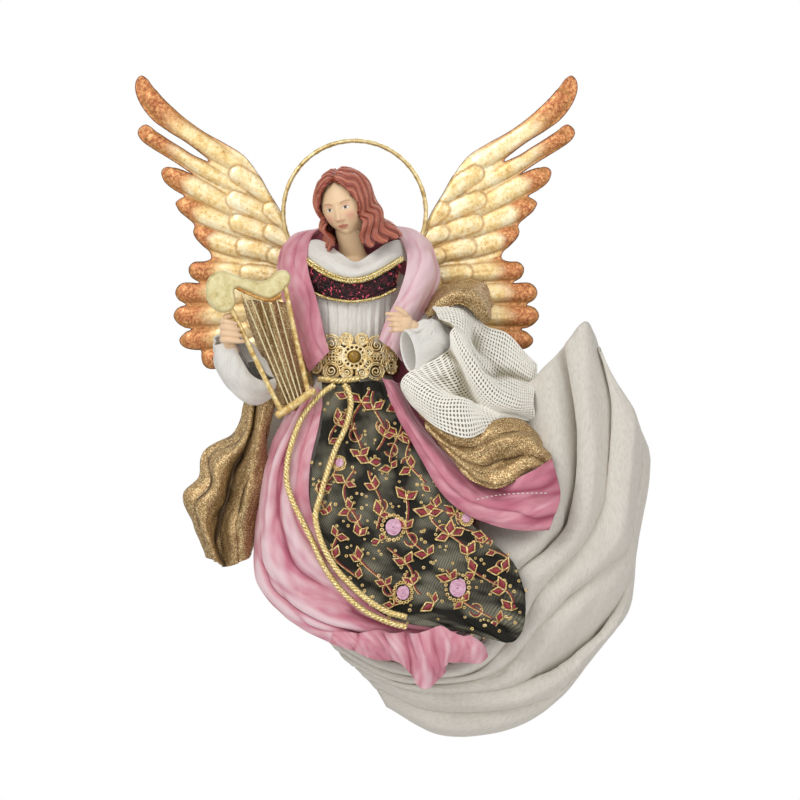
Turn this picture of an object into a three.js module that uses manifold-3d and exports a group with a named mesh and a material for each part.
// Hanging nativity angel with a harp: cast and gilded pieces on a hidden form, dressed in draped cloth.
// Millimetres. +X is the viewer's right, +Z is up and the figure faces -Y, away from the wall at Y = 0.
// Left and right in names are the figure's own: its right hand, on the viewer's left, holds the harp.

import * as THREE from "three";
import { mergeVertices } from "three/addons/utils/BufferGeometryUtils.js";
import Module from "manifold-3d";

const wasm = await Module();
wasm.setup();

// Fits
const FIT_GAP = 0.3;
const FACET_TOLERANCE = 0.2;
const CORNER_LIMIT = 0.4;

// Back plate, hanging loop and wing screws
const PLATE_WIDTH = 46;
const PLATE_HEIGHT = 60;
const PLATE_THICK = 6;
const PLATE_CORNER = 9;
const LOOP_WIRE = 1.1;
const LOOP_EYE = 7;
const LOOP_LEG_DEPTH = 12;
const LOOP_LEG_SPREAD = 3;
const SCREW_RADIUS = 1.5;
const SCREW_HEAD = 2.8;
const SCREW_HEAD_THICK = 1.6;
const SCREW_LENGTH = 16;
const SCREW_INSET = 1;
const SCREW_X = 13;
const SCREW_Z = 13;

// Wings, with the reach and rise of a tip from the middle of the figure
const WING_REACH = 133.8;
const WING_RISE = 136.2;
const WING_TAB_THICK = 3;
const WING_TAB_IN = 4;
const WING_TAB_OUT = 24;
const WING_TAB_HEIGHT = 42;
const WING_ROOT_DEPTH = 9.5;
const WING_SWEEP = 0.045;
const FEATHER_THICK = 1.5;
const FEATHER_LIFT = 1.0;

// Halo
const HALO_RADIUS = 43;
const HALO_WIRE = 1.35;
const HALO_HEIGHT = 53.5;
const HALO_DEPTH = 11.9;
const HALO_OPEN_ANGLE = 42;

// Torso form
const TORSO_X = -2;
const TORSO_DEPTH = 32;
const TORSO_TOP = 10;
const TORSO_BOTTOM = -42;
const CHEST_HALF_WIDTH = 29.5;
const CHEST_HALF_DEPTH = 20;
const WAIST_HALF_WIDTH = 23.5;
const WAIST_HALF_DEPTH = 18;
const PAD_WIDTH = 42;
const ARM_WIRE = 1.2;

// Head
const HEAD_HEIGHT = 46;
const HEAD_WIDTH = 32;
const HEAD_LENGTH = 38;
const HEAD_X = -6.5;
const HEAD_Z = 54;
const HEAD_DEPTH = 49;
const HEAD_TURN = -20;
const HEAD_LEAN = -12;
const HEAD_NOD = 7;
const NECK_RADIUS = 7.6;
const NAPE_SHARE = 0.3;
const LOCK_RADIUS = 3.6;
const LOCKS_PER_SIDE = 3;

// Harp
const HARP_X = -28;
const HARP_DEPTH = 71;
const HARP_TURN = 16;
const HARP_NECK_THICK = 7;
const HARP_POST = 1.6;
const HARP_BASE = 2.4;
const HARP_RAIL = 1;
const STRING_RADIUS = 0.45;
const STRING_COUNT = 5;
const STRING_GAP = 0.45;

// Cloth and trims
const LINEN_THICK = 1.8;
const VELVET_THICK = 2;
const NET_THICK = 1.5;
const LAME_THICK = 1.5;
const KNIT_THICK = 2.4;
const BODICE_EASE = 2.2;
const PLEAT_DEPTH = 0.55;
const PLEAT_COUNT = 12;
const BRAID_RADIUS = 1.7;
const PIPING_RADIUS = 1.1;
const BAND_THICK = 1.1;
const BELT_TOP = -24;
const BELT_BOTTOM = -46;
const BELT_EASE = 4.4;
const FILIGREE_HALF_WIDTH = 28;
const FILIGREE_HALF_HEIGHT = 10.5;
const FILIGREE_LOBES = 5;
const FILIGREE_STEPS = 20;
const FILIGREE_HOLE = 2.1;
const FILIGREE_OUT = 1.4;
const FILIGREE_LOBE = 3;
const FILIGREE_THICK = 1.2;
const STONE_RADIUS = 3.4;
const STONE_DEPTH = 2.2;
const GIRDLE_RADIUS = 1.9;
const GIRDLE_SIDES = 8;

const finishes = {
  goldLeaf: { color: 0xd9b46a, roughness: 0.38, metalness: 0.9 },
  brass: { color: 0xb79a5b, roughness: 0.4, metalness: 0.95 },
  steel: { color: 0x9a9a98, roughness: 0.45, metalness: 0.9 },
  board: { color: 0xa88662, roughness: 0.8, metalness: 0 },
  foam: { color: 0xd8d2c4, roughness: 0.95, metalness: 0 },
  skin: { color: 0xe7c29b, roughness: 0.5, metalness: 0 },
  hair: { color: 0xa55645, roughness: 0.45, metalness: 0 },
  paleGold: { color: 0xd2c088, roughness: 0.45, metalness: 0.6 },
  copper: { color: 0xb4662e, roughness: 0.45, metalness: 0.7 },
  linen: { color: 0xcdc8bd, roughness: 0.95, metalness: 0 },
  tunic: { color: 0xd9d8d2, roughness: 0.95, metalness: 0 },
  velvet: { color: 0xcb6f86, roughness: 0.9, metalness: 0 },
  net: { color: 0x3a352d, roughness: 0.85, metalness: 0 },
  lame: { color: 0x8f7040, roughness: 0.5, metalness: 0.5 },
  knit: { color: 0xece7d8, roughness: 0.95, metalness: 0 },
  sequin: { color: 0x5a1420, roughness: 0.3, metalness: 0.4 },
  braid: { color: 0xc6aa5e, roughness: 0.5, metalness: 0.7 },
  amber: { color: 0xa8801f, roughness: 0.2, metalness: 0.2 },
};

// A place on the figure: across, up, and forward of the wall.
const at = (x, z, forward) => new THREE.Vector3(x, -forward, z);
const radians = THREE.MathUtils.degToRad;
const smoothCurve = (points) => new THREE.CatmullRomCurve3(points, false, "centripetal");

// Solids

function solidFrom(geometry) {
  const bare = new THREE.BufferGeometry();
  bare.setAttribute("position", geometry.getAttribute("position"));
  bare.setIndex(geometry.getIndex());
  const merged = mergeVertices(bare, 1e-4);
  const triVerts = new Uint32Array(merged.index.array);
  const vertProperties = new Float32Array(merged.attributes.position.array);
  const made = new wasm.Manifold(new wasm.Mesh({ numProp: 3, vertProperties, triVerts }));
  if (made.volume() > 0) return made;
  for (let i = 0; i < triVerts.length; i += 3) {
    [triVerts[i], triVerts[i + 1]] = [triVerts[i + 1], triVerts[i]];
  }
  return new wasm.Manifold(new wasm.Mesh({ numProp: 3, vertProperties, triVerts }));
}

function geometryFrom(solid) {
  const mesh = solid.getMesh();
  const geometry = new THREE.BufferGeometry();
  geometry.setAttribute("position", new THREE.BufferAttribute(mesh.vertProperties, 3));
  geometry.setIndex(new THREE.BufferAttribute(mesh.triVerts, 1));
  geometry.computeVertexNormals();
  return geometry;
}

const joined = (solids) => solids.reduce((whole, piece) => whole.add(piece));

const largest = (solid) =>
  solid.decompose().reduce((best, body) => (body.volume() > best.volume() ? body : best));

// The same solid with its surface moved out by the working gap, further where faces meet sharply.
function grown(solid) {
  const geometry = geometryFrom(solid);
  const place = geometry.getAttribute("position");
  const normal = geometry.getAttribute("normal");
  const index = geometry.getIndex();
  const corner = (k) => new THREE.Vector3().fromBufferAttribute(place, index.getX(k));
  const least = new Float32Array(place.count).fill(1);
  for (let k = 0; k < index.count; k += 3) {
    const face = new THREE.Triangle(corner(k), corner(k + 1), corner(k + 2)).getNormal(new THREE.Vector3());
    for (let i = k; i < k + 3; i++) {
      const vertex = index.getX(i);
      const agree = face.dot(new THREE.Vector3().fromBufferAttribute(normal, vertex));
      least[vertex] = Math.min(least[vertex], agree);
    }
  }
  const moved = place.clone();
  for (let i = 0; i < place.count; i++) {
    const reach = FIT_GAP / Math.max(CORNER_LIMIT, least[i]);
    const spot = new THREE.Vector3().fromBufferAttribute(place, i);
    spot.addScaledVector(new THREE.Vector3().fromBufferAttribute(normal, i), reach);
    moved.setXYZ(i, spot.x, spot.y, spot.z);
  }
  geometry.setAttribute("position", moved);
  return solidFrom(geometry).add(solid);
}

// A closed skin over rings of equal point counts. Each end is capped from its middle, or, where the rings
// are flat loops of a sheet, from one side of the loop to the other.
function skin(rings, flat = false) {
  const sides = rings[0].length;
  const points = rings.flat();
  const faces = [];
  for (let j = 0; j + 1 < rings.length; j++) {
    for (let i = 0; i < sides; i++) {
      const a = j * sides + i;
      const b = j * sides + ((i + 1) % sides);
      faces.push(a, b, b + sides, a, b + sides, a + sides);
    }
  }
  for (const [ring, start, flip] of [[rings[0], 0, true], [rings.at(-1), points.length - sides, false]]) {
    const cap = (a, b, c) => faces.push(...(flip ? [c, b, a] : [a, b, c]));
    for (let i = 0; flat && i + 1 < sides / 2; i++) {
      const across = start + sides - 1 - i;
      cap(start + i, start + i + 1, across - 1);
      cap(start + i, across - 1, across);
    }
    if (flat) continue;
    const middle = ring.reduce((sum, p) => sum.add(p), new THREE.Vector3()).divideScalar(sides);
    const hub = points.push(middle) - 1;
    for (let i = 0; i < sides; i++) {
      cap(hub, start + i, start + ((i + 1) % sides));
    }
  }
  const geometry = new THREE.BufferGeometry().setFromPoints(points);
  geometry.setIndex(faces);
  return solidFrom(geometry);
}

// A row of cross points where the guide curves stand a share t along.
function across(curves, t, count, closed) {
  const column = new THREE.CatmullRomCurve3(curves.map((c) => c.getPoint(t)), closed, "centripetal");
  const last = closed ? count : count - 1;
  return Array.from({ length: count }, (_, i) => column.getPoint(i / last));
}

const guideCurves = (guides) => guides.map((guide) => smoothCurve(guide.map((p) => at(...p))));

// A rounded body whose skin follows guide curves that run along it and close round it.
function loftBody(guides, along, perGuide) {
  const curves = guideCurves(guides);
  const rings = Array.from({ length: along + 1 }, (_, j) =>
    across(curves, j / along, guides.length * perGuide, true),
  );
  return skin(rings);
}

// A sheet of cloth whose folds follow guide curves laid side by side.
function loftSheet(guides, along, perGuide, thick) {
  const curves = guideCurves(guides);
  const count = (guides.length - 1) * perGuide + 1;
  const rows = Array.from({ length: along + 1 }, (_, j) => across(curves, j / along, count, false));
  const pick = (j, i) =>
    rows[THREE.MathUtils.clamp(j, 0, along)][THREE.MathUtils.clamp(i, 0, count - 1)];
  const rings = rows.map((row, j) => {
    const front = [];
    const back = [];
    row.forEach((p, i) => {
      const down = pick(j + 1, i).clone().sub(pick(j - 1, i));
      const over = pick(j, i + 1).clone().sub(pick(j, i - 1));
      const half = down.cross(over).normalize().multiplyScalar(thick / 2);
      front.push(p.clone().add(half));
      back.push(p.clone().sub(half));
    });
    return front.concat(back.reverse());
  });
  return skin(rings, true);
}

// Level oval sections, each [middle x, height, middle depth, half width, half depth].
function ovals(sections, sides, ripple = () => 0) {
  return skin(
    sections.map(([x, z, depth, wide, deep]) =>
      Array.from({ length: sides }, (_, i) => {
        const angle = (2 * Math.PI * i) / sides;
        const extra = ripple(angle, z);
        return at(x + (wide + extra) * Math.sin(angle), z, depth + (deep + extra) * Math.cos(angle));
      }),
    ),
  );
}

// A soft tube along stations [x, z, depth, radius], gathered in shallow lengthwise folds.
function sleeveTube(stations, sides, steps, foldDepth) {
  const spine = smoothCurve(stations.map(([x, z, depth]) => at(x, z, depth)));
  const girth = smoothCurve(stations.map(([, , , radius], i) => new THREE.Vector3(i, radius, 0)));
  const frames = spine.computeFrenetFrames(steps, false);
  return skin(
    Array.from({ length: steps + 1 }, (_, j) => {
      const middle = spine.getPointAt(j / steps);
      const radius = girth.getPoint(j / steps).y;
      return Array.from({ length: sides }, (_, i) => {
        const angle = (2 * Math.PI * i) / sides;
        const reach = radius + foldDepth * Math.cos(5 * angle + 4 * (j / steps));
        return middle
          .clone()
          .addScaledVector(frames.normals[j], reach * Math.cos(angle))
          .addScaledVector(frames.binormals[j], reach * Math.sin(angle));
      });
    }),
  );
}

// A round wire or rod along a smooth route.
function rod(route, radius, sides, steps) {
  const section = new THREE.Shape();
  section.absarc(0, 0, radius, 0, 2 * Math.PI);
  const extrudePath = smoothCurve(route.map((p) => at(...p)));
  return solidFrom(new THREE.ExtrudeGeometry(section, { extrudePath, steps, curveSegments: sides / 2 }));
}

function roundBar(from, to, radius, sides) {
  const axis = to.clone().sub(from);
  const geometry = new THREE.CylinderGeometry(radius, radius, axis.length(), sides);
  const turn = new THREE.Quaternion().setFromUnitVectors(new THREE.Vector3(0, 1, 0), axis.normalize());
  geometry.applyQuaternion(turn);
  return solidFrom(geometry.translate(...from.clone().add(to).divideScalar(2).toArray()));
}

function finger(from, to, radius) {
  const axis = to.clone().sub(from);
  const geometry = new THREE.CapsuleGeometry(radius, axis.length(), 1, 6);
  const turn = new THREE.Quaternion().setFromUnitVectors(new THREE.Vector3(0, 1, 0), axis.normalize());
  geometry.applyQuaternion(turn);
  return solidFrom(geometry.translate(...from.clone().add(to).divideScalar(2).toArray()));
}

function ellipsoid(middle, wide, deep, high, detail) {
  const geometry = new THREE.SphereGeometry(1, detail, Math.round(detail * 0.7));
  geometry.rotateX(Math.PI / 2).scale(wide, deep, high);
  return solidFrom(geometry.translate(...middle.toArray()));
}

function block(left, right, low, high, rear, front) {
  const geometry = new THREE.BoxGeometry(right - left, front - rear, high - low);
  return solidFrom(geometry.translate((left + right) / 2, -(front + rear) / 2, (low + high) / 2));
}

// Assembly: each piece gives way, by the working gap, to those placed before it.

const figure = new THREE.Group();
const placed = [];

const apart = (a, b) => [0, 1, 2].some((k) => a.min[k] > b.max[k] || b.min[k] > a.max[k]);

function place(group, name, shape, finish) {
  let solid = shape;
  for (const earlier of placed) {
    if (!apart(solid.boundingBox(), earlier.box)) solid = solid.subtract(earlier.clearance);
  }
  solid = largest(solid.asOriginal().simplify(FACET_TOLERANCE));
  const clearance = grown(solid);
  placed.push({ name, clearance, box: clearance.boundingBox() });
  const mesh = new THREE.Mesh(geometryFrom(solid), new THREE.MeshStandardMaterial(finishes[finish]));
  mesh.name = name;
  group.add(mesh);
}

function section() {
  const group = new THREE.Group();
  figure.add(group);
  return group;
}

// Screws, hanging loop, back plate

const frame = section();
const TAB_REAR = PLATE_THICK + FIT_GAP;
const PAD_REAR = TAB_REAR + WING_TAB_THICK + FIT_GAP;

function wingScrew(x, z) {
  const shankEnd = SCREW_INSET + SCREW_HEAD_THICK + SCREW_LENGTH;
  const head = roundBar(at(x, z, SCREW_INSET), at(x, z, SCREW_INSET + SCREW_HEAD_THICK), SCREW_HEAD, 8);
  return head.add(roundBar(at(x, z, SCREW_INSET + 0.5), at(x, z, shankEnd), SCREW_RADIUS, 8));
}

const screwPlaces = [[-SCREW_X, SCREW_Z], [-SCREW_X, -SCREW_Z], [SCREW_X, SCREW_Z], [SCREW_X, -SCREW_Z]];
screwPlaces.forEach(([x, z], i) => place(frame, `wing_screw_${i + 1}`, wingScrew(x, z), "steel"));

function hangingLoop() {
  const edge = PLATE_HEIGHT / 2;
  const middle = edge + LOOP_EYE + 2;
  const depth = PLATE_THICK / 2;
  const turns = [-140, -95, -50, 0, 50, 95, 140].map((degrees) => [
    LOOP_EYE * Math.sin(radians(degrees)),
    middle + LOOP_EYE * Math.cos(radians(degrees)),
    depth,
  ]);
  const leg = (side) => [
    [side * LOOP_LEG_SPREAD, edge - LOOP_LEG_DEPTH, depth],
    [side * LOOP_LEG_SPREAD, edge - LOOP_LEG_DEPTH / 2, depth],
    [side * LOOP_LEG_SPREAD, edge, depth],
  ];
  return rod([...leg(-1), ...turns, ...leg(1).reverse()], LOOP_WIRE, 6, 30);
}

place(frame, "hanging_loop", hangingLoop(), "steel");

function backPlate() {
  const half = PLATE_WIDTH / 2;
  const tall = PLATE_HEIGHT / 2;
  const outline = new THREE.Shape();
  outline.moveTo(-half + PLATE_CORNER, -tall);
  outline.absarc(half - PLATE_CORNER, -tall + PLATE_CORNER, PLATE_CORNER, -Math.PI / 2, 0);
  outline.absarc(half - PLATE_CORNER, tall - PLATE_CORNER, PLATE_CORNER, 0, Math.PI / 2);
  outline.absarc(-half + PLATE_CORNER, tall - PLATE_CORNER, PLATE_CORNER, Math.PI / 2, Math.PI);
  outline.absarc(-half + PLATE_CORNER, -tall + PLATE_CORNER, PLATE_CORNER, Math.PI, 1.5 * Math.PI);
  const geometry = new THREE.ExtrudeGeometry(outline, {
    depth: PLATE_THICK,
    bevelEnabled: false,
    curveSegments: 5,
  });
  const wells = screwPlaces.map(([x, z]) =>
    roundBar(at(x, z, -1), at(x, z, SCREW_INSET + 0.2), SCREW_HEAD, 8),
  );
  return solidFrom(geometry.rotateX(Math.PI / 2)).subtract(joined(wells));
}

place(frame, "back_plate", backPlate(), "board");

// Wings: embossed sheet with three rows of raised feathers

const wingDepth = (x) => WING_ROOT_DEPTH - WING_SWEEP * Math.abs(x);

const featherShares = [0, 0.45, 0.8, 1];

// One feather along a quill [[x, z], ...], crowned in front and rounded at its tip.
function feather(quill, halfWidth) {
  const spine = smoothCurve(quill.map(([x, z]) => at(x, z, wingDepth(x) + FEATHER_LIFT)));
  return skin(
    featherShares.map((share) => {
      const swell = 0.62 + 0.38 * Math.sin((Math.PI / 2) * Math.min(1, share / 0.6));
      const tip = share > 0.72 ? Math.sqrt(Math.max(0.02, 1 - ((share - 0.72) / 0.28) ** 2)) : 1;
      const wide = halfWidth * swell * tip;
      const middle = spine.getPoint(share);
      const run = spine.getTangent(share);
      const side = new THREE.Vector3(run.z, 0, -run.x).normalize();
      const thick = FEATHER_THICK * (0.35 + 0.65 * tip);
      return [[-1, -0.2], [0, 1], [1, -0.2], [0, -0.7]].map(([w, t]) =>
        middle.clone().addScaledVector(side, w * wide).add(new THREE.Vector3(0, -t * thick, 0)),
      );
    }),
  );
}

// Edge of one wing as [out from the middle of the figure, up]: leading edge, then the five long feathers,
// the five short ones, and the root.
const wingOutline = [
  [6, 14], [22, 15], [33, 25], [39, 35.4], [45, 51.6], [53.4, 66], [59.4, 76.8], [67.8, 87.6],
  [79.8, 95.4], [91.8, 102], [102, 109.2], [109.8, 115.8], [117, 122.4], [123, 129.6], [126.6, 134.4],
  [130.2, 136.2], [133, 133.4], [133.8, 128.4], [132, 121.8], [127.8, 114.6], [121.8, 108],
  [112.8, 102], [103.8, 96.6], [94.2, 89.4], [89.2, 84.4], [97.9, 87.4], [105.8, 92.3], [113.8, 97.3],
  [120.8, 102.2], [124.7, 105.5], [127.7, 106.6], [131.2, 104.3], [132.2, 101.3], [130.2, 97.3],
  [123.7, 92.3], [115.8, 87.4], [107.8, 82.4], [99.2, 76.2], [103.9, 78.4], [109.8, 80.2],
  [114.8, 80.9], [117.8, 78.4], [116.3, 72.4], [110.8, 67.4], [104.2, 63], [106.9, 61.5], [109.3, 59],
  [106.9, 54.5], [101.9, 50], [97.9, 45.4], [98.6, 41.6], [96.9, 38.1], [92.9, 33.6], [88.4, 28.8],
  [87.9, 25.7], [91.9, 23.6], [97.9, 23.2], [100.9, 20.7], [101.2, 17.7], [99.4, 14.2], [94.9, 10.7],
  [104.5, 10.7], [108.5, 7.8], [109.4, 4.2], [107.4, 0.6], [103.1, -2.4], [108.1, -4.6], [110.5, -8.9],
  [108.9, -12.5], [103.8, -16.2], [99.4, -17.3], [103.1, -19.1], [106.7, -22.7], [106.7, -25.3],
  [103.8, -28.2], [97.2, -29.6], [94, -30], [93.6, -34.4], [92.5, -38.3], [89.6, -40.9], [85.6, -41.3],
  [70, -38], [54, -32], [38, -24], [20, -20], [6, -18],
];

// Quills of the raised feathers, as [half width, [root ... tip]] with the same places.
const flightFeathers = [
  [5.2, [[66, 78], [88, 92], [110, 107], [129, 129]]],
  [4.0, [[68, 66], [90, 78], [110, 91], [129, 101]]],
  [5.4, [[66, 52], [82, 60], [98, 69], [114, 77]]],
  [5.4, [[64, 40], [78, 46], [92, 52], [106, 58]]],
  [5.6, [[60, 28], [72, 32], [84, 36], [96, 40]]],
  [5.2, [[58, 15], [72, 17], [86, 18], [99, 18.5]]],
  [5.4, [[57, 3], [74, 4], [91, 5], [107, 5]]],
  [5.6, [[56, -7], [74, -8], [91, -9], [108, -9]]],
  [5.2, [[54, -15], [71, -19], [88, -23], [104, -24]]],
  [4.8, [[52, -23], [66, -28], [79, -33], [91, -36]]],
];
const covertFeathers = [
  [5.2, [[50, 60], [62, 70], [74, 78]]],
  [5.2, [[48, 48], [62, 56], [76, 62]]],
  [5.2, [[46, 37], [60, 43], [74, 48]]],
  [5.0, [[44, 26], [57, 30], [70, 33]]],
  [4.8, [[42, 14], [55, 16], [68, 17]]],
  [4.8, [[40, 3], [53, 3], [66, 3]]],
  [4.8, [[38, -8], [51, -11], [64, -13]]],
];
const lesserFeathers = [
  [4.6, [[42, 46], [47, 51], [53, 56]]],
  [4.6, [[38, 34], [45, 38], [53, 42]]],
  [4.6, [[34, 22], [42, 25], [51, 28]]],
  [4.6, [[30, 10], [39, 11], [49, 12]]],
  [4.6, [[28, -1], [37, -2], [46, -3]]],
];

const drawnReach = Math.max(...wingOutline.map(([x]) => x));
const drawnRise = Math.max(...wingOutline.map(([, z]) => z));

// Place of the drawn wing at its own reach and rise, on the side given.
const wingPlace = (side, [x, z]) => [(side * x * WING_REACH) / drawnReach, (z * WING_RISE) / drawnRise];

// Sheet in the wing's outline, swept back towards its tip.
function wingSheet(side) {
  const edge = new THREE.Shape(wingOutline.map((spot) => new THREE.Vector2(...wingPlace(side, spot))));
  const geometry = new THREE.ExtrudeGeometry(edge, { depth: FEATHER_THICK, bevelEnabled: false });
  geometry.rotateX(Math.PI / 2);
  const spot = geometry.getAttribute("position");
  for (let i = 0; i < spot.count; i++) {
    spot.setY(i, spot.getY(i) - wingDepth(spot.getX(i)) + FEATHER_THICK / 2);
  }
  return solidFrom(geometry);
}

function wing(side) {
  const raised = [...flightFeathers, ...covertFeathers, ...lesserFeathers].map(([half, quill]) =>
    feather(quill.map((spot) => wingPlace(side, spot)), half),
  );
  const tab = block(
    Math.min(side * WING_TAB_IN, side * WING_TAB_OUT),
    Math.max(side * WING_TAB_IN, side * WING_TAB_OUT),
    -WING_TAB_HEIGHT / 2,
    WING_TAB_HEIGHT / 2,
    TAB_REAR,
    TAB_REAR + WING_TAB_THICK,
  );
  return joined([
    tab,
    wingSheet(side),
    ...raised,
  ]);
}

const wings = section();
place(wings, "right_wing", wing(-1), "goldLeaf");
place(wings, "left_wing", wing(1), "goldLeaf");

// Halo: a wire hoop whose two ends are set into the back of the shoulders

function haloRing() {
  const reach = 180 - HALO_OPEN_ANGLE;
  const route = Array.from({ length: 25 }, (_, i) => {
    const angle = radians(-reach + (2 * reach * i) / 24);
    return [HALO_RADIUS * Math.sin(angle) - 1, HALO_HEIGHT + HALO_RADIUS * Math.cos(angle), HALO_DEPTH];
  });
  return rod(route, HALO_WIRE, 6, 30);
}

place(wings, "halo_ring", haloRing(), "brass");

// Forms and wires hidden under the clothes

const body = section();
const rightArm = [[-20, 6, 32], [-38, -12, 33], [-52, -42, 50], [-60, -46, 60], [-75, -20, 77]];
const leftArm = [[17, 6, 32], [44, -4, 34], [66, -32, 44], [58, -32, 60], [30, -14, 83]];
place(body, "right_arm_wire", rod(rightArm, ARM_WIRE, 6, 16), "steel");
place(body, "left_arm_wire", rod(leftArm, ARM_WIRE, 6, 16), "steel");

function torsoForm() {
  const shell = ovals(
    [
      [TORSO_X, TORSO_BOTTOM, TORSO_DEPTH, WAIST_HALF_WIDTH, WAIST_HALF_DEPTH],
      [TORSO_X, -30, TORSO_DEPTH, WAIST_HALF_WIDTH + 0.5, WAIST_HALF_DEPTH],
      [TORSO_X, -12, TORSO_DEPTH, CHEST_HALF_WIDTH - 3, CHEST_HALF_DEPTH - 0.6],
      [TORSO_X, TORSO_TOP, TORSO_DEPTH, CHEST_HALF_WIDTH, CHEST_HALF_DEPTH],
    ],
    22,
  );
  const half = PAD_WIDTH / 2;
  return shell.add(block(-half, half, -PLATE_HEIGHT / 2 + 4, TORSO_TOP, PAD_REAR, TORSO_DEPTH));
}

place(body, "torso_form", torsoForm(), "foam");

function skirtForm() {
  return sleeveTube(
    [
      [TORSO_X, TORSO_BOTTOM - FIT_GAP, TORSO_DEPTH, 15],
      [-5, -80, 38, 22],
      [0, -120, 42, 26],
      [14, -160, 44, 22],
      [36, -192, 45, 18],
      [72, -205, 45, 18],
      [105, -188, 46, 16],
      [130, -162, 46, 14],
      [140, -130, 45, 11],
      [147, -88, 42, 7],
    ],
    10,
    12,
    0,
  );
}

place(body, "skirt_form", skirtForm(), "foam");

// Head, hair and hands

const cast = section();
const headPlace = new THREE.Matrix4()
  .makeRotationFromEuler(new THREE.Euler(radians(HEAD_NOD), radians(HEAD_LEAN), radians(HEAD_TURN), "YZX"))
  .setPosition(at(HEAD_X, HEAD_Z, HEAD_DEPTH));

const bump = (value, middle, spread) => Math.exp(-(((value - middle) / spread) ** 2));

// A calm, even head: jaw narrowing to the chin, brow, nose, lips and chin on the middle line.
function headShape() {
  const geometry = new THREE.SphereGeometry(1, 16, 12);
  geometry.rotateX(Math.PI / 2);
  const spot = geometry.getAttribute("position");
  for (let i = 0; i < spot.count; i++) {
    const [sx, sy, sz] = [spot.getX(i), spot.getY(i), spot.getZ(i)];
    const jaw = Math.max(0, -sz);
    const x = (sx * HEAD_WIDTH * (1 - 0.34 * jaw ** 2)) / 2;
    const z = (sz * HEAD_HEIGHT) / 2;
    const front = Math.min(1, 3 * Math.max(0, -sy));
    const nose = Math.max(0, Math.min((4 - z) / 9, (z + 9.5) / 3, 1)) * bump(x, 0, 2.2);
    const lips = bump(z, -12.5, 2.2) * bump(x, 0, 4);
    const chin = bump(z, -19.5, 3) * bump(x, 0, 5);
    const sockets = bump(z, 0.5, 2.6) * (bump(x, 6.4, 3) + bump(x, -6.4, 3));
    const length = sy > 0 ? 1 - 0.38 * jaw * sy : 1 + 0.06 * sy;
    const relief = 1.4 * sockets - 3.6 * nose - 0.9 * lips - 1.9 * chin;
    const y = (sy * HEAD_LENGTH * length) / 2 + front * relief;
    spot.setXYZ(i, x, y, z);
  }
  return solidFrom(geometry.applyMatrix4(headPlace));
}

function headCasting() {
  const shoulders = ovals(
    [
      [TORSO_X, TORSO_TOP + FIT_GAP, TORSO_DEPTH, CHEST_HALF_WIDTH, CHEST_HALF_DEPTH],
      [TORSO_X, TORSO_TOP + 7, TORSO_DEPTH + 1, CHEST_HALF_WIDTH - 1, CHEST_HALF_DEPTH - 2],
      [TORSO_X, TORSO_TOP + 12, TORSO_DEPTH + 2, CHEST_HALF_WIDTH - 8, CHEST_HALF_DEPTH - 6],
      [TORSO_X, TORSO_TOP + 16, TORSO_DEPTH + 4, NECK_RADIUS + 3, NECK_RADIUS + 1],
      [TORSO_X - 1, TORSO_TOP + 22, TORSO_DEPTH + 8, NECK_RADIUS, NECK_RADIUS],
      [HEAD_X + 2, HEAD_Z - HEAD_HEIGHT / 4, HEAD_DEPTH - 2, NECK_RADIUS, NECK_RADIUS],
    ],
    20,
  );
  return shoulders.add(headShape());
}

place(cast, "head_casting", headCasting(), "skin");

// Long waved locks from the middle parting, in the head's own frame.
function hairCasting() {
  const crown = new THREE.SphereGeometry(1, 10, 8).rotateX(Math.PI / 2);
  crown.scale(HEAD_WIDTH / 2 + 2.6, HEAD_LENGTH / 2 + 2.6, HEAD_HEIGHT / 2 + 2.2).translate(0, 1.2, 0.8);
  const face = new THREE.SphereGeometry(1, 10, 7).rotateX(Math.PI / 2);
  face.scale(HEAD_WIDTH / 2 - 2.4, HEAD_LENGTH / 2 + 4, HEAD_HEIGHT / 2 + 2);
  face.translate(0, -HEAD_LENGTH / 2, -6);
  const nape = -HEAD_HEIGHT * NAPE_SHARE;
  const below = block(-HEAD_WIDTH, HEAD_WIDTH, -HEAD_HEIGHT, nape, -HEAD_LENGTH, HEAD_LENGTH);
  const cap = solidFrom(crown).subtract(solidFrom(face)).subtract(below);
  const locks = [];
  for (const side of [-1, 1]) {
    for (let k = 0; k < LOCKS_PER_SIDE; k++) {
      const back = -6 + 8 * k;
      const wave = 1.5 * (k % 2 ? 1 : -1);
      const wide = HEAD_WIDTH / 2;
      locks.push([
        [side * 3, back * 0.7, HEAD_HEIGHT / 2 - 1],
        [side * (wide * 0.8), back, HEAD_HEIGHT / 3.4],
        [side * (wide + 1.2 + wave * 0.4), back, 2],
        [side * (wide + 0.2 - wave), back + 1, -HEAD_HEIGHT / 4],
        [side * (wide + 1.5 + wave), back + 1, -HEAD_HEIGHT / 2 - 1],
      ]);
    }
  }
  const strands = locks.map((route) =>
    rod(route.map(([x, y, z]) => [x, z, -y]), LOCK_RADIUS, 6, 5),
  );
  return joined([cap, ...strands]).transform(headPlace.elements);
}

place(cast, "hair_casting", hairCasting(), "hair");

// Harp: built flat, then turned about its upright near the body

const harp = section();
const harpPlace = new THREE.Matrix4()
  .makeRotationZ(radians(HARP_TURN))
  .setPosition(at(HARP_X, 0, HARP_DEPTH));
const harpRod = (route, radius, sides, steps) =>
  rod(route, radius, sides, steps).transform(harpPlace.elements);

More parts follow.
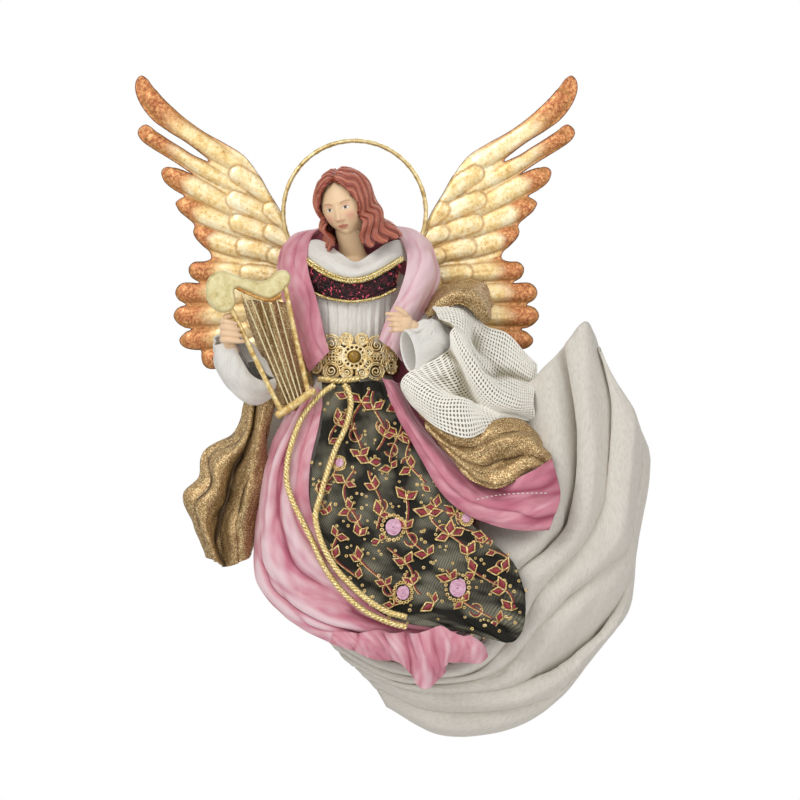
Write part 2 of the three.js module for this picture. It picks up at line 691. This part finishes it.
// Waved neck with a rounded scroll at its outer end, from its outline in the harp's own plane.
function harpNeck() {
  const outline = [
    [-64, 5], [-62, 13], [-55, 17], [-47.5, 15.5], [-39, 12.5], [-29.5, 11], [-24, 13], [-20, 17],
    [-14.5, 17.5], [-11.6, 14.5], [-12, 10], [-15, 6.5], [-20.5, 1.5], [-26, -0.6], [-32, 1], [-40, 4.5],
    [-46, 6], [-45.5, -1.5], [-48, -6.5], [-53, -8], [-58, -6.5], [-62.5, -1.5],
  ];
  const loop = new THREE.CatmullRomCurve3(outline.map(([x, z]) => new THREE.Vector3(x, z, 0)), true);
  const shape = new THREE.Shape(loop.getPoints(44).slice(0, -1).map((p) => new THREE.Vector2(p.x, p.y)));
  const geometry = new THREE.ExtrudeGeometry(shape, {
    depth: HARP_NECK_THICK - 2,
    bevelThickness: 1,
    bevelSize: 1,
    bevelOffset: -1,
    bevelSegments: 1,
  });
  geometry.translate(0, 0, 1 - HARP_NECK_THICK / 2).rotateX(Math.PI / 2);
  return solidFrom(geometry.applyMatrix4(harpPlace));
}

const harpFront = HARP_NECK_THICK / 2 + FIT_GAP + HARP_RAIL;
const railRoute = [[-45.5, 6.5, harpFront], [-39, 3.5, harpFront], [-31, 0.5, harpFront],
  [-24.5, -0.5, harpFront],
  [-19, 2.5, harpFront]];
const baseRoute = [[-19.5, -69, 0], [-15, -66.5, 0], [-8, -62, 0], [-1, -57, 0], [3, -54.5, 0]];
place(harp, "harp_neck", harpNeck(), "paleGold");
place(harp, "harp_base", harpRod(baseRoute, HARP_BASE, 8, 6), "copper");
place(harp, "harp_string_rail", harpRod(railRoute, HARP_RAIL, 6, 8), "copper");
place(harp, "harp_outer_post", harpRod([[-48, -6, 0], [-33, -36, 0],
  [-17, -67, 0]], HARP_POST, 8, 4), "paleGold");
place(harp, "harp_inner_post", harpRod([[-15, 9, 0], [-8, -24, 0],
  [0, -57, 0]], HARP_POST, 8, 4), "paleGold");

const railCurve = smoothCurve(railRoute.map((p) => at(...p)));
const baseCurve = smoothCurve(baseRoute.map((p) => at(...p)));
for (let k = 0; k < STRING_COUNT; k++) {
  const share = k / (STRING_COUNT - 1);
  const peg = railCurve.getPoint(0.08 + 0.8 * share);
  const anchor = baseCurve.getPoint(0.36 + 0.28 * share);
  const run = anchor.clone().sub(peg).normalize();
  const top = peg.addScaledVector(run, HARP_RAIL + STRING_GAP);
  const foot = anchor.addScaledVector(run, -HARP_BASE - STRING_GAP);
  const string = roundBar(top, foot, STRING_RADIUS, 6).transform(harpPlace.elements);
  place(harp, `harp_string_${k + 1}`, string, "brass");
}

function gripHand() {
  const fingers = [0, 1, 2, 3].map((k) =>
    finger(at(-79, -13 - 3.6 * k, 85), at(-71.5 + 1.4 * k, -14.5 - 3.4 * k, 87), 1.9),
  );
  const thumb = finger(at(-77, -10, 83), at(-71, -11, 80), 2);
  return joined([ellipsoid(at(-77, -19.5, 81), 4.6, 4.6, 8.5, 8), thumb, ...fingers]);
}

function openHand() {
  const fingers = [0, 1, 2, 3].map((k) =>
    finger(at(25, -9.5 - 2.9 * k, 85), at(19 + 0.9 * k, -8.5 - 3.4 * k, 86.5 - k), 1.75),
  );
  const thumb = finger(at(29, -8, 86), at(24.5, -5.2, 88), 1.8);
  return joined([ellipsoid(at(28.5, -13.5, 83.5), 5.6, 3.8, 5.8, 8), thumb, ...fingers]);
}

place(cast, "right_hand", gripHand(), "skin");
place(cast, "left_hand", openHand(), "skin");

// Bodice, neckline and belt

const dress = section();
const pleats = (angle) =>
  PLEAT_DEPTH * Math.cos(PLEAT_COUNT * angle) * Math.max(0, Math.cos(angle));

function bodice() {
  const ease = BODICE_EASE;
  return ovals(
    [
      [TORSO_X, TORSO_BOTTOM + 1, TORSO_DEPTH, WAIST_HALF_WIDTH + ease, WAIST_HALF_DEPTH + ease],
      [TORSO_X, -30, TORSO_DEPTH, WAIST_HALF_WIDTH + 0.5 + ease, WAIST_HALF_DEPTH + ease],
      [TORSO_X, -12, TORSO_DEPTH, CHEST_HALF_WIDTH - 3 + ease, CHEST_HALF_DEPTH - 0.6 + ease],
      [TORSO_X, TORSO_TOP - 1, TORSO_DEPTH, CHEST_HALF_WIDTH - 0.4 + ease, CHEST_HALF_DEPTH + ease],
    ],
    36,
    pleats,
  );
}

place(dress, "bodice", bodice(), "tunic");

// Neckline places: across, up, and ahead of the middle of the torso.
const neckLine = [[-30, 23, 13], [-18, 15, 21.5], [-9, 11.5, 24.5], [-2, 10.5, 25.5], [7, 12, 24.5],
  [17, 17, 21], [28, 24, 13]];
const chestLine = [[-27, 6, 17.5], [-17, 2, 22], [-9, 0.5, 24], [-2, 0, 24.6], [7, 1, 24],
  [15, 3, 22], [24, 7.5, 17.5]];
const lifted = (line, up, out) => line.map(([x, z, ahead]) => [x, z + up, TORSO_DEPTH + ahead + out]);

function cowl() {
  const upper = [[-27, 33, 3], [-19, 30, 12], [-10, 23, 18], [1, 17.5, 20.5], [11, 23, 18],
    [20, 30, 12], [26, 32, 3]];
  const swell = [[-28, 27, 13], [-19, 23.5, 20], [-9, 18, 24.5], [0, 14.5, 26.5], [10, 18, 24.5],
    [20, 24, 20], [27, 28, 13]];
  const lines = [lifted(upper, 0, 0), lifted(swell, 0, 0), lifted(neckLine, 1.5, 0)];
  return loftSheet(lines, 12, 3, LINEN_THICK);
}

place(dress, "cowl", cowl(), "tunic");
const bandLines = [lifted(neckLine, 0, 0), lifted(chestLine, 5, 0.4), lifted(chestLine, 0, 0)];
place(dress, "sequin_band", loftSheet(bandLines, 12, 2, BAND_THICK), "sequin");
place(dress, "neckline_braid", rod(lifted(neckLine, 1, 2.4), BRAID_RADIUS, 6, 16), "braid");
place(dress, "chest_piping", rod(lifted(chestLine, -1, 1.8), PIPING_RADIUS, 6, 14), "braid");

const waistWide = WAIST_HALF_WIDTH + BELT_EASE;
const waistDeep = WAIST_HALF_DEPTH + BELT_EASE;
place(
  dress,
  "belt_band",
  ovals([
    [TORSO_X, BELT_BOTTOM, TORSO_DEPTH, waistWide, waistDeep],
    [TORSO_X, (BELT_TOP + BELT_BOTTOM) / 2, TORSO_DEPTH, waistWide + 0.5, waistDeep + 0.5],
    [TORSO_X, BELT_TOP, TORSO_DEPTH, waistWide, waistDeep],
  ], 24),
  "braid",
);

// Pierced scroll plate with lobed edges, bent round the front of the waist.
function filigree() {
  const middle = (BELT_TOP + BELT_BOTTOM) / 2 + 1;
  const reach = FILIGREE_OUT + FILIGREE_THICK / 2;
  const around = (s, z, out) => {
    const angle = s / waistWide;
    const x = TORSO_X + 1 + (waistWide + out) * Math.sin(angle);
    return [x, z, TORSO_DEPTH + (waistDeep + out) * Math.cos(angle)];
  };
  const edge = (s) => {
    const lobe = Math.abs(Math.cos((Math.PI * FILIGREE_LOBES * s) / (2 * FILIGREE_HALF_WIDTH)));
    return FILIGREE_HALF_HEIGHT * (1 - 0.3 * (s / FILIGREE_HALF_WIDTH) ** 2) + FILIGREE_LOBE * lobe;
  };
  const shares = Array.from({ length: FILIGREE_STEPS + 1 }, (_, i) => (2 * i) / FILIGREE_STEPS - 1);
  const span = shares.map((share) => share * FILIGREE_HALF_WIDTH);
  const line = (share) => span.map((s) => around(s, middle + share * edge(s), reach));
  const plate = loftSheet([line(-1), line(0), line(1)], FILIGREE_STEPS, 1, FILIGREE_THICK);
  const holes = [];
  for (const s of [-22, -14.5, -7.5, 7.5, 14.5, 22]) {
    for (const share of [-0.5, 0.5]) {
      const z = middle + share * FILIGREE_HALF_HEIGHT;
      const [inner, outer] = [around(s, z, reach - 3), around(s, z, reach + 3)];
      holes.push(roundBar(at(...inner), at(...outer), FILIGREE_HOLE, 6));
    }
  }
  return plate.subtract(joined(holes));
}

place(dress, "belt_filigree", filigree(), "braid");
const stoneDepth = TORSO_DEPTH + waistDeep + FILIGREE_OUT + FILIGREE_THICK;
const stonePlace = at(TORSO_X + 1, (BELT_TOP + BELT_BOTTOM) / 2 + 1, stoneDepth + 0.8);
place(dress, "belt_stone", ellipsoid(stonePlace, STONE_RADIUS, STONE_DEPTH, STONE_RADIUS, 12), "amber");

// Linen skirt: hip cone and a swirled train. Its guides run from the top peak round to the hip, by turns on
// a crest and in the crease beyond it, and end with the turned edge and the back.

const skirtFolds = [
  [[86.5, -66, 44], [84.5, -87, 47], [80.5, -108, 51], [75.5, -125, 57], [69.5, -140, 61],
    [66, -153, 63], [62.5, -166, 65], [56.5, -184, 67], [38.5, -204, 67], [2.5, -204, 61],
    [-30.5, -185, 50]],
  [[115, -38.5, 52], [118, -66, 66], [120.5, -93, 74], [119.5, -117, 79], [114, -135.5, 82],
    [103, -149.5, 84], [91, -163, 83], [80.5, -186, 80], [56.5, -213, 76], [11.5, -211, 66],
    [-26.5, -192, 50]],
  [[126, -26.5, 46], [131, -59.5, 56], [133, -90, 60], [131, -118, 62], [125.5, -137, 64],
    [113.5, -151, 68], [95, -165, 72], [86.5, -189, 71], [61, -217, 68], [14.5, -216, 60],
    [-24, -195.5, 46]],
  [[137.5, -13, 52], [139, -57, 66], [141.5, -90, 72], [140, -120, 76], [134, -138.5, 78],
    [122.5, -154, 80], [105.5, -171, 80], [95, -192, 78], [67, -221, 74], [19, -221, 63],
    [-20.5, -200, 47]],
  [[146, -29, 44], [154, -60, 54], [153, -90, 58], [149.5, -119, 60], [144, -134.5, 62],
    [134.5, -147.5, 64], [113.5, -170.5, 68], [101, -192, 68], [73, -223, 66], [23.5, -224.5, 57],
    [-17, -204, 43]],
  [[151, -44.5, 48], [165, -66, 58], [166, -91, 63], [163, -120, 66], [158, -141.5, 68],
    [147, -157, 70], [123.5, -176, 73], [107.5, -194.5, 74], [80.5, -223, 72], [27.5, -228, 62],
    [-13, -208, 44]],
  [[150.5, -51, 30], [169, -75, 40], [171, -96, 44], [167, -127, 46], [162.5, -151, 50],
    [151, -159.5, 54], [126.5, -180, 60], [108.5, -197, 62], [86.5, -222.5, 62], [31, -230.5, 54],
    [-9.5, -212.5, 40]],
  [[150, -55, 26], [171, -79, 37], [173.5, -98.5, 41], [168, -132, 44], [164, -159.5, 52],
    [153.5, -169, 60], [131.5, -187, 68], [113.5, -207, 70], [92.5, -228, 69], [35.5, -233, 60],
    [-5, -216.5, 42]],
  [[149, -59, 20], [172, -83, 30], [174, -102, 33], [168, -138, 36], [163, -170.5, 40],
    [153.5, -191, 46], [131.5, -213, 52], [117.5, -223, 54], [95.5, -230.5, 56], [38.5, -234, 50],
    [0, -221, 36]],
  [[147.5, -61, 18], [173.5, -84, 29], [175, -102, 32], [168.5, -141, 35], [164, -175, 42],
    [157, -193, 48], [139, -213, 56], [122.5, -228, 62], [98.5, -240, 64], [41.5, -240, 55],
    [5, -225.5, 38]],
  [[146.5, -63.5, 12], [174, -86, 20], [175, -103, 22], [168.5, -144, 24], [163, -180, 28],
    [155, -198, 33], [141.5, -213.5, 38], [123.5, -234, 44], [91, -244, 48], [45.5, -247, 44],
    [13, -234, 32]],
  [[145, -66, 10], [174.5, -87.5, 18], [176, -104.5, 20], [168.5, -147, 22], [164, -183.5, 26],
    [153, -200, 32], [141, -214, 37], [122.5, -236.5, 44], [93.5, -252.5, 50], [50.5, -257, 46],
    [17, -241, 32]],
  [[144, -68.5, 6], [174, -90, 10], [175, -105.5, 11], [168, -149, 12], [162.5, -186, 14],
    [152, -201, 16], [140, -215.5, 18], [121, -237.5, 22], [93, -255.5, 26], [50.5, -260, 26],
    [18, -244, 20]],
  [[131.5, -60, 4], [140.5, -90, 4], [140.5, -108, 4], [134.5, -144, 4], [125.5, -174, 4],
    [116.5, -186, 4], [104.5, -198, 4], [86.5, -210, 5], [62.5, -219, 6], [26.5, -216, 7],
    [-9.5, -198, 8]],
];

function linenSkirt() {
  const cone = ovals(
    [
      [TORSO_X, TORSO_BOTTOM - 1.5, TORSO_DEPTH, WAIST_HALF_WIDTH - 1, WAIST_HALF_DEPTH - 1],
      [-5, -60, 35, 30, 24],
      [-8, -90, 39, 40, 30],
      [-3, -125, 42, 50, 35],
      [9, -160, 43, 56, 35],
      [25, -188, 42, 44, 28],
    ],
    20,
  );
  return loftBody(skirtFolds, 16, 2).add(cone);
}

place(dress, "linen_skirt", linenSkirt(), "linen");

// Sleeves

function rightSleeve() {
  const outer = sleeveTube(
    [[-25, 9, 32, 8], [-40, -16, 33, 9.5], [-52, -44, 47, 12], [-62, -48, 57, 13],
      [-71, -36, 65, 13.5], [-77, -22, 72, 8.5]],
    11,
    10,
    0.7,
  );
  const mouth = sleeveTube(
    [[-62, -46, 60, 7], [-69, -38, 66, 10], [-76, -25, 72, 7], [-82, -12, 80, 6]],
    10,
    5,
    0,
  );
  return outer.subtract(mouth);
}

function leftSleeve() {
  return sleeveTube(
    [[22, 9, 32, 8], [44, -6, 34, 9.5], [64, -30, 42, 11], [62, -34, 58, 11], [50, -27, 68, 11],
      [40, -20, 76, 8.5]],
    11,
    10,
    0.7,
  );
}

// Turned-back cuff that hangs below the wrist, open towards the hand.
function leftCuff() {
  const folds = [
    [[36, -10, 78], [29, -18, 82], [25, -28, 83], [27, -40, 82], [33, -45, 80]],
    [[41, -9, 82], [37, -18, 88], [34, -28, 90], [36, -40, 88], [41, -47, 85]],
    [[48, -11, 80], [47, -19, 87], [44, -29, 88], [47, -40, 86], [50, -47, 83]],
    [[55, -15, 74], [56, -22, 80], [55, -30, 82], [55, -39, 80], [54, -46, 78]],
  ];
  return loftSheet(folds, 8, 2, LINEN_THICK);
}

place(dress, "right_sleeve", rightSleeve(), "tunic");
place(dress, "left_sleeve", leftSleeve(), "tunic");
place(dress, "left_cuff", leftCuff(), "tunic");

// Velvet: stole round the shoulders, and two long drapes from the belt

const stole = [
  [[-16, -31, 58], [-19, -21, 58], [-23, -2, 58], [-28, 15, 54], [-29, 27, 44], [-24, 41, 29],
    [-2, 46, 21], [20, 43, 29], [30, 29, 44],
    [30, 18, 54], [25, 2, 58], [18, -12, 58], [14, -24, 58]],
  [[-22, -37, 59], [-26, -25, 59], [-32, -5, 58], [-37, 12, 53], [-39, 26, 42], [-34, 40, 26],
    [-2, 41, 18.5], [31, 43, 26], [41, 30, 40],
    [43, 18, 50], [35, 0, 57], [26, -17, 60], [22, -30, 59]],
  [[-28, -43, 50], [-34, -30, 46], [-41, -9, 44], [-46, 9, 38], [-47, 23, 30], [-41, 36, 21],
    [-2, 32, 17.5], [42, 37, 21], [48, 23, 30],
    [50, 13, 36], [43, -3, 44], [34, -21, 50], [28, -37, 51]],
];
const rightDrape = [
  [[-30, -52, 46], [-44, -75, 47], [-54, -99, 47], [-58, -123, 46], [-60, -147, 47], [-57, -171, 50],
    [-35, -194, 66], [2, -210, 74], [40, -217, 70]],
  [[-27, -52, 53], [-39, -75, 60], [-49, -99, 63], [-53, -123, 66], [-54, -147, 68], [-46, -170, 71],
    [-23, -189, 78], [11, -202, 81], [50, -210, 80]],
  [[-25, -53, 54], [-36, -75, 59], [-45, -99, 62], [-47, -123, 66], [-44, -144, 71], [-34, -163, 76],
    [-13, -181, 82], [19, -196, 84], [55, -205, 85]],
  [[-23, -53, 56], [-31, -75, 64], [-38, -99, 71], [-40, -123, 76], [-35, -141, 80], [-25, -157, 84],
    [-5, -174, 88], [24, -190, 89], [59, -200, 90]],
  [[-21, -55, 57], [-27, -75, 65], [-33, -99, 71], [-34, -123, 76], [-29, -139, 80], [-17, -153, 84],
    [1, -168, 86], [29, -185, 87], [62, -197, 88]],
  [[-19, -55, 57], [-22, -75, 66], [-27, -99, 73], [-27, -123, 78], [-20, -140, 82], [-8, -154, 85],
    [7, -167, 86], [34, -181, 87], [66, -193, 87]],
];
const drapeFrill = [
  [[-12.5, -198, 78], [-14, -201.5, 78], [-14.5, -204.5, 76]],
  [[2.5, -199, 84], [1, -205, 85], [-0.5, -210, 81]],
  [[13, -197, 86], [14.5, -207, 84], [13, -215, 79]],
  [[21.5, -199, 90], [25, -209, 91], [26.5, -216.5, 86]],
  [[29.5, -198, 90], [33.5, -211, 88], [32.5, -223, 83]],
  [[36, -199, 94], [41, -216, 94], [41.5, -232, 89]],
  [[43, -197, 93], [49, -213, 90], [53, -223, 85]],
  [[50.5, -194.5, 96], [55, -207, 96], [54.5, -217, 91]],
  [[57.5, -198, 95], [62.5, -209, 92], [61, -216, 87]],
  [[63.5, -200.5, 95], [71, -209, 94], [73, -216.5, 89]],
  [[68.5, -200.5, 92], [77, -207, 90], [79, -213, 85]],
];
const leftDrape = [
  [[16, -47, 59], [25, -69, 68], [39, -94, 77], [54, -118, 85], [71, -130, 91], [95, -137, 95],
    [115, -137, 92]],
  [[18, -48, 60], [29, -69, 71], [43, -91, 80], [59, -114, 88], [78, -124, 95], [100, -127, 99],
    [120, -125, 96]],
  [[21, -49, 58], [32, -70, 67], [47, -89, 75], [64, -108, 83], [82, -118, 90], [101, -118, 95],
    [122, -116, 93]],
  [[26, -50, 51], [37, -71, 60], [51, -89, 68], [68, -104, 76], [84, -112, 86], [102, -104, 93],
    [117, -95, 88]],
];

place(dress, "velvet_stole", loftSheet(stole, 24, 2, VELVET_THICK), "velvet");
place(dress, "velvet_drape_right", loftSheet(rightDrape, 13, 2, VELVET_THICK), "velvet");
place(dress, "velvet_drape_left", loftSheet(leftDrape, 12, 3, VELVET_THICK), "velvet");

// Embroidered net panel over the front of the skirt

const netPanel = [
  [[-20, -50, 56], [-20, -75, 66], [-26, -102, 77], [-26, -126, 82], [-13, -156, 89], [17, -188, 92],
    [66, -198, 91]],
  [[-10, -49, 60], [-7, -75, 71], [-10, -102, 80], [-7, -126, 87], [10, -155, 92], [41, -180, 93],
    [80, -202, 91]],
  [[1, -49, 60], [7, -75, 71], [8, -102, 81], [14, -126, 88], [31, -151, 93], [59, -174, 94],
    [94, -204, 91]],
  [[12, -49, 60], [20, -75, 70], [26, -102, 80], [35, -124, 87], [52, -147, 92], [77, -168, 93],
    [100, -195, 91]],
  [[22, -50, 57], [33, -75, 66], [45, -102, 76], [57, -120, 83], [73, -138, 89], [94, -157, 92],
    [101, -175, 90]],
];
place(dress, "embroidered_panel", loftSheet(netPanel, 12, 2, NET_THICK), "net");
place(dress, "velvet_frill", loftSheet(drapeFrill, 5, 2, VELVET_THICK), "velvet");

// Knitted wrap on the left arm, and the metallic mantle at both arms

const knitWrap = [
  [[46, -7, 60], [62, -5, 52], [77, -17, 46], [89, -21, 42], [98, -31, 41], [107, -40, 40]],
  [[50, -11, 76], [64, -15, 72], [74, -31, 65], [86, -41, 59], [97, -47, 55], [107, -51, 50]],
  [[58, -18, 84], [64, -31, 87], [73, -45, 85], [83, -57, 81], [94, -62, 75], [104, -63, 63]],
  [[56, -30, 82], [60, -42, 80], [67, -55, 79], [76, -65, 78], [86, -68, 73], [106, -72, 60]],
  [[29, -47, 84], [37, -53, 87], [50, -60, 90], [64, -61, 88], [73, -64, 83], [88, -71, 73]],
  [[31, -57, 76], [38, -67, 81], [50, -76, 86], [66, -82, 87], [76, -78, 81], [92, -74, 70]],
];
const mantleLower = [
  [[38, -67, 76], [50, -77, 82], [67, -82, 83], [82, -73, 80], [98, -73, 74], [109, -84, 66]],
  [[42, -75, 78], [56, -87, 87], [71, -90, 84], [86, -84, 88], [103, -84, 88], [115, -93, 80]],
  [[47, -81, 80], [62, -96, 90], [77, -102, 87], [89, -97, 88], [104, -95, 91], [116, -102, 84]],
  [[53, -90, 82], [68, -107, 91], [82, -113, 95], [92, -109, 95], [103, -103, 91], [113, -102, 85]],
];
const mantleShoulder = [
  [[41, -7, 38], [46, 2, 38], [54, 8, 36], [66, 12, 34], [76, 10, 32], [82, -3, 30]],
  [[42, -8, 54], [49, 0, 58], [58, 5, 60], [67, 7, 58], [76, 2, 52], [81, -7, 46]],
  [[43, -10, 58], [53, -5, 62], [61, -2, 64], [68, -5, 62], [74, -11, 57], [79, -13, 49]],
];
const mantleTail = [
  [[-65, -58, 46], [-72, -79, 44], [-91, -91, 42], [-94, -107, 44], [-103, -116, 46],
    [-98, -132, 46], [-89, -154, 46]],
  [[-62, -58, 52], [-67, -84, 54], [-80, -99, 54], [-84, -114, 56], [-91, -126, 56], [-89, -141, 56],
    [-84, -157, 54]],
  [[-59, -58, 50], [-65, -87, 46], [-72, -102, 44], [-76, -117, 44], [-80, -132, 44],
    [-82, -147, 44], [-78, -160, 46]],
  [[-55, -58, 56], [-60, -87, 58], [-64, -105, 58], [-66, -120, 58], [-72, -135, 56],
    [-72, -150, 54], [-71, -158, 52]],
  [[-47, -58, 52], [-53, -84, 49], [-54, -99, 48], [-54, -111, 47], [-57, -129, 46], [-61, -147, 46],
    [-64, -154, 48]],
];
place(dress, "knit_wrap", loftSheet(knitWrap, 10, 2, KNIT_THICK), "knit");
place(dress, "mantle_lower", loftSheet(mantleLower, 11, 2, LAME_THICK), "lame");
place(dress, "mantle_shoulder", loftSheet(mantleShoulder, 12, 3, LAME_THICK), "lame");
place(dress, "mantle_tail", loftSheet(mantleTail, 9, 2, LAME_THICK), "lame");

// Girdle cord: two strands from the waist that meet below the hip and run on under the frill

const girdleOuter = [
  [-13, -51, 65], [-19, -55, 65], [-26, -62, 67], [-33, -72, 69], [-38, -85, 73], [-41, -98, 76],
    [-41, -110, 79], [-37, -122, 82],
  [-31, -134, 86], [-25, -146, 88], [-20, -157, 91], [-13, -168, 93], [-4, -178, 95], [8, -187, 96],
    [22, -193, 97], [30, -195, 97],
];
const girdleInner = [
  [-7, -51, 65], [-4, -56, 67], [-3, -63, 71], [-6, -76, 76], [-12, -89, 80], [-17, -103, 84],
    [-21, -117, 87], [-24, -129, 89],
  [-22, -140, 91], [-18, -150, 93], [-12, -160, 95], [-4, -169, 97], [6, -178, 99], [19, -186, 100],
    [30, -189, 100],
];

function girdleKnot() {
  const route = [[-22, -47.5, 58], [-16, -48, 61.5], [-10, -48.5, 62.5], [-4, -48, 62.5], [2, -47, 62]];
  return rod(route, GIRDLE_RADIUS, GIRDLE_SIDES, 8);
}

place(dress, "girdle_waist", girdleKnot(), "braid");
place(dress, "girdle_strand_outer", rod(girdleOuter, GIRDLE_RADIUS, GIRDLE_SIDES, 24), "braid");
place(dress, "girdle_strand_inner", rod(girdleInner, GIRDLE_RADIUS, GIRDLE_SIDES, 24), "braid");

export default figure;
